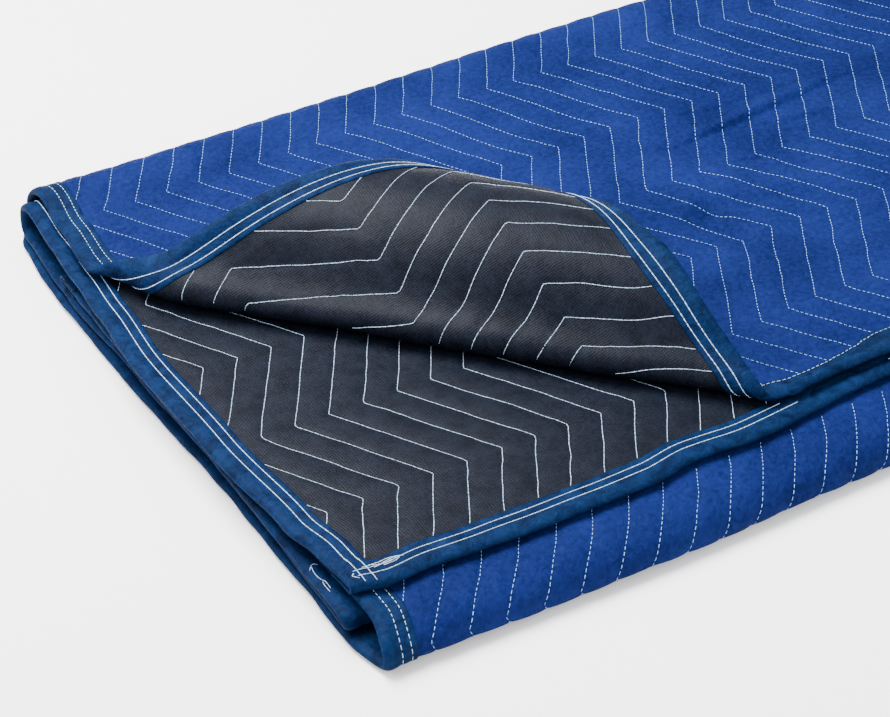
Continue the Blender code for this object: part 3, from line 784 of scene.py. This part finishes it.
def makeTape(name, side, rides, seed, node, material):
    length, placeAt = clothSides[side]
    places = tapePlaces(side, tape["endStart"] if rides else tape["sideStart"])
    inside = np.minimum(places, length - places)
    lift = rideLift(inside) if rides else np.zeros_like(places)
    # a side's tape lies flat where the end's tape covers it
    flatHalf, asFarAs, over = tape["covered"]
    flatter = np.zeros_like(places) if rides else 1 - smooth((inside - asFarAs) / over)
    (height, small), (more, large) = tape["waves"]
    edgeHeight, edgeSize = tape["edgeWaves"]
    sewnHeight, sewnSize = tape["sewnWaves"]
    outside, pocket = tape["outside"], tape["pocket"]
    ring = [(inset, half, 1, True) for inset, half in outside]
    ring += [(inset, half, -1, True) for inset, half in outside[-2::-1]]
    ring += [(inset, half, -1, False) for inset, half in pocket]
    ring += [(inset, half, 1, False) for inset, half in pocket[-2::-1]]
    vertices, flats = [], []
    for inset, half, face, isOutside in ring:
        at = np.full_like(places, inset)
        out = np.full_like(places, half)
        if isOutside:
            loose = 1 - smooth((inset - tape["looseBeyond"][0]) / tape["looseBeyond"][1])
            wave = cloudy(places, at + 7 * face, small, seed)
            wave = wave + more * cloudy(places, at + 3 * face, large, seed + 1)
            out = out + (height + tape["looseWaves"] * loose) * wave * min(1.0, half / 0.002)
            out = np.where(flatter > 0, out * (1 - flatter) + np.minimum(out, flatHalf) * flatter, out)
            swing = edgeHeight * cloudy(places, 0 * places, edgeSize, seed + 2)
            at = at - loose * swing + flatter * 0.0008 * loose
            if inset > tape["width"] - 0.0015:
                at = at + sewnHeight * cloudy(places, 0 * places + face, sewnSize, seed + 3)
        out = face * (out + (lift if half > 0 else 0.0))
        if side == "front" and face > 0:
            at = narrowed(places, at)
        vertices.append(carried(*placeAt(places, at), out))
        flats.append(np.stack([places, np.full_like(places, inset * face + (0.0 if isOutside else 0.1))], -1))
    around, n = len(ring), len(places)
    vertices, flats = np.stack(vertices, 1).reshape(-1, 3), np.stack(flats, 1).reshape(-1, 2)
    faces = np.concatenate([betweenRings(n, around), np.array(ringCap(ring, 0) + ringCap(ring, n - 1))])
    made = addMesh(name, vertices, faces, [material], flats)
    made.data.set_sharp_from_angle(angle=math.radians(52))
    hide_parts(node)
    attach(made, "root")
    return made


def betweenRings(count, around):
    # two triangles for each place between one ring of points and the next
    here = np.arange(around)
    following = (here + 1) % around
    start = around * np.arange(count - 1)[:, None]
    a, b, c, d = start + here, start + following, start + around + following, start + around + here
    return np.concatenate([np.stack([a, b, c], -1).reshape(-1, 3), np.stack([a, c, d], -1).reshape(-1, 3)])


def ringCap(ring, station):
    # closes the end of a tape between its outside and its pocket
    around = len(ring)
    base = station * around
    outside = [i for i, (*_, isOutside) in enumerate(ring) if isOutside]
    pocket = [i for i, (*_, isOutside) in enumerate(ring) if not isOutside][::-1]
    triangles, i, j = [], 0, 0
    while i < len(outside) - 1 or j < len(pocket) - 1:
        stepOut = (i + 1) / (len(outside) - 1)
        stepIn = (j + 1) / (len(pocket) - 1)
        if j == len(pocket) - 1 or (i < len(outside) - 1 and stepOut <= stepIn):
            triangles.append((outside[i], outside[i + 1], pocket[j]))
            i += 1
        else:
            triangles.append((outside[i], pocket[j + 1], pocket[j]))
            j += 1
    order = 1 if station else -1
    return [tuple(base + k for k in t)[::order] for t in triangles]


def tapePlaces(side, first, corner=0.040):
    # places along a tape, with even ones near the corners
    length, _ = clothSides[side]
    places = edgePlaces(side, spacing["tape"])
    places = places[(places > corner + 0.002) & (places < length - corner - 0.002)]
    near = np.arange(first, corner + 0.001, 0.0022)
    return np.concatenate([near, places, length - near[::-1]])


# Materials: two colours of each, darker and lighter, and where between them the pattern turns

colours = {
    "blueFace": ((0.39, (0.0020, 0.0052, 0.037, 1)), (0.61, (0.0054, 0.0122, 0.077, 1))),
    "greyLining": ((0.41, (0.0016, 0.0024, 0.0050, 1)), (0.60, (0.0054, 0.0071, 0.0132, 1))),
    "bindingTape": ((0.34, (0.0007, 0.0040, 0.0175, 1)), (0.70, (0.0033, 0.0156, 0.0570, 1))),
    "threadOnBlue": ((0.30, (0.08, 0.17, 0.36, 1)), (0.65, (0.22, 0.40, 0.74, 1))),
    "whiteThread": ((0.30, (0.16, 0.23, 0.33, 1)), (0.65, (0.38, 0.49, 0.63, 1))),
    "floor": ((0.0, (0.925, 0.93, 0.935, 1)), (1.0, (0.94, 0.943, 0.946, 1))),
}


class Finish:
    # a material being put together; a node's inputs are constants or other nodes' outputs
    def __init__(self, name, places):
        self.made = bpy.data.materials.new(name)
        self.made.use_nodes = True
        self.tree = self.made.node_tree
        self.places = self.tree.nodes.new("ShaderNodeTexCoord").outputs[places]

    def setInputs(self, node, inputs):
        for name, value in inputs.items():
            if isinstance(value, bpy.types.NodeSocket):
                self.tree.links.new(value, node.inputs[name])
            else:
                node.inputs[name].default_value = value

    def add(self, kind, inputs, **settings):
        node = self.tree.nodes.new("ShaderNode" + kind)
        for name, value in settings.items():
            setattr(node, name, value)
        self.setInputs(node, inputs)
        return node.outputs.get("Fac") or node.outputs[0]

    def noise(self, scale, detail=2.0, **inputs):
        inputs = {name.title(): value for name, value in inputs.items()}
        return self.add("TexNoise", {"Vector": self.places, "Scale": scale, "Detail": detail, **inputs})

    def maths(self, operation, *values):
        return self.add("Math", dict(enumerate(values)), operation=operation)

    def colour(self, name, pattern):
        node = self.tree.nodes.new("ShaderNodeValToRGB")
        for element, (position, shade) in zip(node.color_ramp.elements, colours[name]):
            element.position, element.color = position, shade
        self.setInputs(node, {"Fac": pattern})
        return node.outputs["Color"]

    def bump(self, height, strength, distance, under=None):
        inputs = {"Height": height, "Strength": strength, "Distance": distance}
        if under is not None:
            inputs["Normal"] = under
        return self.add("Bump", inputs)

    def done(self, **inputs):
        names = {"colour": "Base Color", "normal": "Normal", "roughness": "Roughness",
                 "specular": "Specular IOR Level"}
        shader = self.tree.nodes["Principled BSDF"]
        self.setInputs(shader, {names[name]: value for name, value in inputs.items()})
        return self.made


def faceMaterial():
    finish = Finish("blue_nonwoven", "UV")
    broad = finish.noise(9.0, 4.0, roughness=0.6)
    blotches = finish.noise(210.0, 6.0, roughness=0.65, distortion=0.6)
    both = finish.maths("MULTIPLY", finish.maths("ADD", broad, blotches), 0.5)
    fibres = finish.bump(finish.noise(520.0, 4.0), 0.35, 0.0006)
    wrinkles = finish.bump(finish.noise(85.0, 4.0, distortion=1.2), 0.75, 0.0022, fibres)
    ridges = finish.add("TexNoise", {"Vector": finish.places, "Scale": 24.0, "Detail": 3.0,
                                     "Distortion": 0.8}, noise_type="RIDGED_MULTIFRACTAL")
    crinkle = finish.bump(ridges, 0.55, 0.0034, wrinkles)
    return finish.done(colour=finish.colour("blueFace", both), normal=crinkle, roughness=0.60, specular=0.018)


def liningMaterial():
    finish = Finish("grey_woven_lining", "UV")
    broad = finish.noise(60.0, 6.0, roughness=0.68)
    wave = {"Vector": finish.places, "Scale": 150.0, "Distortion": 4.0, "Detail": 3.0, "Detail Scale": 0.8}
    threads = [finish.add("TexWave", wave, bands_direction=direction) for direction in "XY"]
    weave = finish.maths("ADD", *threads)
    flecks = finish.noise(380.0, 4.0, roughness=0.7)
    mottled = finish.maths("ADD", finish.maths("MULTIPLY_ADD", weave, 0.07, flecks), broad)
    tint = finish.colour("greyLining", finish.maths("MULTIPLY", mottled, 0.4680))
    normal = finish.bump(broad, 0.5, 0.0014, finish.bump(weave, 0.22, 0.0004))
    return finish.done(colour=tint, normal=normal, roughness=0.46, specular=0.044)


def tapeMaterial():
    finish = Finish("binding_tape", "Object")
    mottle = finish.noise(70.0, 7.0, roughness=0.7, distortion=0.8)
    fibres = finish.bump(finish.noise(330.0, 6.0), 0.65, 0.0014)
    normal = finish.bump(mottle, 0.4, 0.0016, fibres)
    tint = finish.colour("bindingTape", mottle)
    return finish.done(colour=tint, normal=normal, roughness=0.55, specular=0.022)


def threadMaterial(name, shades):
    finish = Finish(name, "Object")
    return finish.done(colour=finish.colour(shades, finish.noise(400.0, 3.0)), roughness=0.6)


def floorMaterial():
    finish = Finish("pale_floor", "Object")
    return finish.done(colour=finish.colour("floor", finish.noise(1.5)), roughness=0.9, specular=0.0)


# The cloth and its bindings

cloth = makeCloth()
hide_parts("quilted_cloth")
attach(cloth, "root")
print("cloth made", len(cloth.data.polygons), "triangles")

tapeFinish = tapeMaterial()
bindings = [makeTape("side_tape_outer", "outer", False, 20, "side_binding_outer", tapeFinish),
            makeTape("side_tape_inner", "inner", False, 30, "side_binding_inner", tapeFinish),
            makeTape("front_tape", "front", True, 40, "end_binding_front", tapeFinish),
            makeTape("tucked_tape", "back", True, 50, "end_binding_tucked", tapeFinish)]
print("bindings made", sum(len(b.data.polygons) for b in bindings), "triangles")


# Stitching: each stitch is a short closed length of thread

# from one stitch to the next, its length, half width, half height, the share that tapers at each end, lift
thread = {
    "face": (0.0043, 0.0032, 0.00027, 0.00025, 0.16, 0.00050),
    "lining": (0.0046, 0.0049, 0.00031, 0.00028, 0.10, 0.00034),
    "tapeFace": (0.0048, 0.0036, 0.00032, 0.00028, 0.15, 0.00034),
    "tapeLining": (0.0048, 0.0052, 0.00042, 0.00034, 0.09, 0.00034),
}
endLift = 0.00004       # the lift of each stitch's two ends, all but drawn into the cloth


def oneStitch():
    # the triangles of one stitch: a point at each end and two rings of four between
    faces = [(0, 1, 2), (0, 2, 3), (0, 3, 4), (0, 4, 1)]
    for k in range(4):
        a, b = 1 + k, 1 + (k + 1) % 4
        faces += [(a, a + 4, b + 4), (a, b + 4, b), (9, b + 4, a + 4)]
    return np.array(faces)


def addStitches(name, groups, material):
    # each group: flat paths, the side they lie on, the kind of stitch, how far out their surface is
    vertices, faces, count = [], [], 0
    for paths, side, kind, surface in groups:
        apart, long, halfWide, halfHigh, taper, raised = thread[kind]
        flats = []
        for path in paths:
            at = np.concatenate([[0], np.cumsum(np.hypot(*np.diff(path, axis=0).T))])
            n = int(round(at[-1] / apart))
            if n < 1:
                continue
            share = np.arange(n)[:, None] + long / apart * np.array([0, taper, 1 - taper, 1.0])[None, :]
            marks = share * at[-1] / n
            flats.append(np.stack([np.interp(marks, at, path[:, 0]), np.interp(marks, at, path[:, 1])], -1))
        flats = np.concatenate(flats)
        n = len(flats)
        across, along = flats[..., 0].ravel(), flats[..., 1].ravel()
        normals = outwards(across, along)
        out = side * surface(across, along) + rumple(across, along)
        middles = (placed(across, along) + normals * out[:, None]).reshape(n, 4, 3)
        normals = (normals * side).reshape(n, 4, 3)
        ahead = unit(middles[:, 3] - middles[:, 0])[:, None, :]
        wide = unit(np.cross(normals, ahead))
        high = unit(np.cross(ahead, wide))
        middles = middles + high * np.array([endLift, raised, raised, endLift])[None, :, None]
        wide, high = wide[:, 1:3] * halfWide, high[:, 1:3] * halfHigh
        rings = middles[:, 1:3, None] + np.stack([wide, high, -wide, -high], 2)
        points = np.concatenate([middles[:, :1], rings.reshape(n, 8, 3), middles[:, 3:]], 1)
        vertices.append(points.reshape(-1, 3))
        faces.append((oneStitch()[None] + (count + 10 * np.arange(n))[:, None, None]).reshape(-1, 3))
        count += 10 * n
    made = addMesh(name, np.concatenate(vertices), np.concatenate(faces), [material])
    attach(made, "root")
    print(name, len(made.data.polygons), "triangles")
    return made


# Where the quilting is sewn: past the bindings, and as far as any view reaches
sewn = {
    "clearOfTape": 0.0272,
    "frontBinding": 0.04,           # the front binding's own edge counts, as near the front as this
    "pastBottom": 0.030,            # on past the far bend, along the bottom third
    "roundFront": (0.030, 0.010),   # before the front bend, and past it
    "pastFold": 0.006,              # past the right-hand fold
    "insideRoll": 0.012,            # past the roll's line
    "underRoll": -0.045,            # the layer under it: past the line, and from the left edge
    "underRollWide": 0.55,
}


def runsOf(points, keep, least=4):
    # the unbroken runs of a path where keep holds
    runs, current = [], []
    for point, held in zip(points, keep):
        if held:
            current.append(point)
        elif current:
            runs.append(current)
            current = []
    runs.append(current)
    return [np.array(run) for run in runs if len(run) >= least]


def wander(count, along):
    return wavesOf("sewing", along, 0 * along + 0.05 * count)


def outerPaths():
    along = np.linspace(-0.05, stripLength, 3760)
    for count in range(-4, 36):
        first = quilting["outerStart"] + count * pitch
        across = first + 0 * along
        for _ in range(3):
            across = first + swing * zigzag(outerPhase(across, along))
        driftAcross, driftAlong = quiltDrift(across, along)
        yield np.stack([across + driftAcross + wander(count, along), along + driftAlong], -1)


def innerPaths():
    along = np.linspace(0, lengths[top], 1160)
    for count in range(-3, 20):
        x = innerShift(0 * along, along) + count * pitch
        for _ in range(4):
            x = innerShift(x, along) + count * pitch - swing * zigzag(innerPhase(x, along))
        yield np.stack([fullWidth - x + wander(count + 50, along), along], -1)


def clearOfTape(path, onFace=False):
    room = sewn["clearOfTape"] + 0 * path[:, 0]
    if onFace:
        room = np.where(path[:, 1] < sewn["frontBinding"], narrowed(path[:, 0], room), room)
    return insetOf(*path.T) > room


def facePaths():
    runs = []
    before, past = sewn["roundFront"]
    for path in outerPaths():
        across, along = path.T
        onBend = (along > starts[front] - before) & (along < starts[middle] + past)
        shown = (along < starts[bottom] + sewn["pastBottom"]) | onBend
        shown = shown & (across < halfWidth + rightFold + sewn["pastFold"])
        runs += runsOf(path, clearOfTape(path, True) & shown)
    return runs


def liningPaths():
    runs = []
    for path in outerPaths():
        runs += runsOf(path, clearOfTape(path) & (beyondRoll(*path.T) > sewn["insideRoll"]))
    for path in innerPaths():
        shown = beyondRoll(*path.T, inner=True) > sewn["underRoll"]
        shown = shown & (path[:, 0] > fullWidth - sewn["underRollWide"])
        runs += runsOf(path, clearOfTape(path) & shown)
    return runs


def faceSurface(across, along):
    return halfThick(across, along, True, True)


def liningSurface(across, along):
    return halfThick(across, along, False, True)


faceThread = threadMaterial("thread_on_blue", "threadOnBlue")
liningThread = threadMaterial("white_thread", "whiteThread")
faceGroup = (facePaths(), 1, "face", faceSurface)
liningGroup = (liningPaths(), -1, "lining", liningSurface)
faceStitching = addStitches("face_stitching", [faceGroup], faceThread)
liningStitching = addStitches("lining_stitching", [liningGroup], liningThread)


def sideTapeSurface(across, along):
    return tapeHalf(np.minimum(across, fullWidth - across))


def endTapeSurface(across, along):
    return tapeHalf(np.minimum(along, stripLength - along)) + rideLift(np.minimum(across, fullWidth - across))


# The rows of stitches on the bindings, and the sewing at the open corner
tapeRows = {
    "insets": (0.014, 0.022),
    "apart": 0.0015,                # between the points of a row
    # not sewn where the top layer's binding lies against it: from, for each row, and to, from the corner
    "against": (0.416, 0.402),
    "resumes": 0.512,
    # how much closer to the edge the front rows run near the open corner: from the corner, how much
    "nearCorner": ((0, 0.0075), (0.020, 0.003), (0.032, 0.0015), (0.070, 0.001), (0.160, 0.0005), (0.20, 0)),
    "closer": (0, 0.0012),          # and each row beyond that, on the first 0.4 m
    # the turn that joins the two rows: its middle from both edges, and its reach
    "turn": (0.0102, 0.0099, 0.0034, 0.0036),
    # sewing gone over again: from the corner, in from the edge
    "goneOver": (((0.018, 0.0190), (0.030, 0.0222), (0.041, 0.0232), (0.050, 0.0200), (0.046, 0.0172),
                  (0.034, 0.0176)),
                 ((0.026, 0.0172), (0.036, 0.0208), (0.047, 0.0216), (0.052, 0.0186)),
                 ((0.024, 0.0214), (0.034, 0.0190), (0.045, 0.0192))),
    "blueInset": 0.0238,
}


def tapePaths():
    sides, ends = [], []
    apart = tapeRows["apart"]
    for inset, closer, against in zip(tapeRows["insets"], tapeRows["closer"], tapeRows["against"]):
        places = np.arange(0.0300, stripLength - 0.0300, apart)
        sides.append(np.stack([0 * places + inset, places], -1))
        places = places[places < starts[front]]
        sides.append(np.stack([0 * places + fullWidth - inset, places], -1))
        places = np.arange(0.0100, fullWidth - 0.0100, apart)
        fromCorner = fullWidth - places
        strays = tableValue(*zip(*tapeRows["nearCorner"]), fromCorner)
        strays = strays + closer * (1 - smooth((fromCorner - 0.4) / 0.1))
        row = np.stack([places, inset - strays], -1)
        ends += [row[fromCorner < against], row[fromCorner > tapeRows["resumes"]]]
        # over the end binding at the open corner
        places = np.arange(0.0315, 0.0020, -0.0008)
        ends.append(np.stack([fullWidth - inset + 0.0015 * smooth((0.024 - places) / 0.02), places], -1))
    turn = np.linspace(0, math.pi, 16)
    fromCorner, inset, reach, depth = tapeRows["turn"]
    ends.append(np.stack([fullWidth - fromCorner + reach * np.sin(turn), inset + depth * np.cos(turn)], -1))
    for line in tapeRows["goneOver"]:
        places = np.linspace(0, len(line) - 1, 30)
        fromCorner, inset = (tableValue(range(len(line)), values, places) for values in zip(*line))
        ends.append(np.stack([fullWidth - fromCorner, inset], -1))
    return sides, ends


sideRows, endRows = tapePaths()
# the inner half's first rows go through to the blue side
blueEndRows = [row[row[:, 0] > halfWidth] for row in endRows[:4]]
# on the outer half only the inner row shows there, close to the binding's edge
places = np.arange(0.0100, halfWidth, tapeRows["apart"])
blueEndRows.append(np.stack([places, narrowed(places, 0 * places + tapeRows["blueInset"])], -1))
insideRows = [row[row[:, 1] < starts[front] - 0.15] for row in sideRows]
bindingGroups = [(sideRows, 1, "tapeFace", sideTapeSurface), (blueEndRows, 1, "tapeFace", endTapeSurface),
                 (insideRows, -1, "tapeLining", sideTapeSurface), (endRows, -1, "tapeLining", endTapeSurface)]
bindingStitching = addStitches("binding_stitching", bindingGroups, liningThread)


# Loose thread, left hanging on the inner side binding under the open corner

looseEnds = {
    "radius": 0.00024,
    "lift": 0.0006,
    # in from the binding's edge, and on past the front bend
    "loop": ((0.0030, 0.050), (0.0060, 0.0535), (0.0090, 0.0545), (0.0115, 0.053)),
    "tail": ((0.0060, 0.053), (0.0045, 0.0455), (0.0045, 0.041), (0.0055, 0.0365), (0.0075, 0.034),
             (0.0070, 0.026)),
    "branch": ((0.0055, 0.0355), (0.0045, 0.031), (0.0050, 0.0235)),
}


def makeLooseThread():
    vertices, faces, count, around = [], [], 0, 6
    turn = 2 * math.pi * np.arange(around) / around
    for line in (looseEnds["loop"], looseEnds["tail"], looseEnds["branch"]):
        at = np.linspace(0, len(line) - 1, 7 * (len(line) - 1) + 1)
        inset, beyond = (np.interp(at, range(len(line)), values) for values in zip(*line))
        across, along = fullWidth - inset, starts[middle] + beyond
        arch = np.sin(math.pi * at / at[-1])
        out = sideTapeSurface(across, along) + looseEnds["lift"] * arch
        path = carried(across, along, -out)
        for _ in range(8):
            path[1:-1] = (path[:-2] + 2 * path[1:-1] + path[2:]) / 4
        ahead = unit(np.gradient(path, axis=0))
        wide = unit(np.cross(ahead, (0, 0, 1.0)))
        high = np.cross(ahead, wide)
        rings = path[:, None] + looseEnds["radius"] * (wide[:, None] * np.cos(turn)[None, :, None]
                                                       + high[:, None] * np.sin(turn)[None, :, None])
        vertices.append(rings.reshape(-1, 3))
        faces.append(count + betweenRings(len(path), around))
        last = count + around * (len(path) - 1)
        faces.append(np.array([(count, count + j + 2, count + j + 1) for j in range(around - 2)]
                              + [(last, last + j + 1, last + j + 2) for j in range(around - 2)]))
        count += around * len(path)
    made = addMesh("loose_thread", np.concatenate(vertices), np.concatenate(faces), [liningThread])
    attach(made, "root")
    print("loose_thread", len(made.data.polygons), "triangles")
    return made


looseThread = makeLooseThread()


# Floor, light and camera

studio = {
    "daylight": 1.2,
    # place, width and height, power
    "lights": {"overhead": ((-0.6, 0.9, 2.1), (1.5, 1.3), 250),
               "left": ((-2.2, 0.4, 1.4), (1.2, 1.0), 38),
               "front_fill": ((0.8, -2.4, 1.5), (1.8, 1.2), 62)},
    "lightsAim": (0, 0, 0.05),
    "camera": (-1.1351, -1.5168, 1.23875),
    "cameraTurn": math.radians(30.24),      # to the right of straight ahead
    "cameraDown": math.radians(35.91),
    "lens": 101.7,
}

bpy.ops.mesh.primitive_plane_add(size=9.0, location=(0, 0.6, 0))
floor = bpy.context.object
floor.name = "floor"
floor.data.materials.append(floorMaterial())
floor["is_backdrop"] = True

world = bpy.data.worlds.new("studio")
bpy.context.scene.world = world
world.use_nodes = True
world.node_tree.nodes["Background"].inputs["Color"].default_value = (1.0, 1.0, 1.0, 1)
world.node_tree.nodes["Background"].inputs["Strength"].default_value = studio["daylight"]


def facing(direction):
    return Vector(direction).to_track_quat("-Z", "Y").to_euler()


for name, (place, size, power) in studio["lights"].items():
    lamp = bpy.data.lights.new(name, "AREA")
    lamp.shape = "RECTANGLE"
    lamp.size, lamp.size_y = size
    lamp.energy = power
    light = bpy.data.objects.new(name, lamp)
    light.location = place
    light.rotation_euler = facing(Vector(studio["lightsAim"]) - Vector(place))
    bpy.context.collection.objects.link(light)

camera = bpy.data.cameras.new("camera")
camera.lens = studio["lens"]
camera.sensor_width = 36.0
viewer = bpy.data.objects.new("camera", camera)
viewer.location = studio["camera"]
turn, down = studio["cameraTurn"], studio["cameraDown"]
level = math.cos(down)
viewer.rotation_euler = facing((math.sin(turn) * level, math.cos(turn) * level, -math.sin(down)))
bpy.context.collection.objects.link(viewer)
bpy.context.scene.camera = viewer
print("floor, lights and camera in place")

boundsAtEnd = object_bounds()


def plainLists(value):
    if isinstance(value, dict):
        return {str(key): plainLists(item) for key, item in value.items()}
    if isinstance(value, (str, int, float, bool)) or value is None:
        return value
    return [plainLists(item) for item in value]


{"at_load": plainLists(boundsAtLoad), "at_end": plainLists(boundsAtEnd)}
print("bounds", plainLists(boundsAtLoad), plainLists(boundsAtEnd))
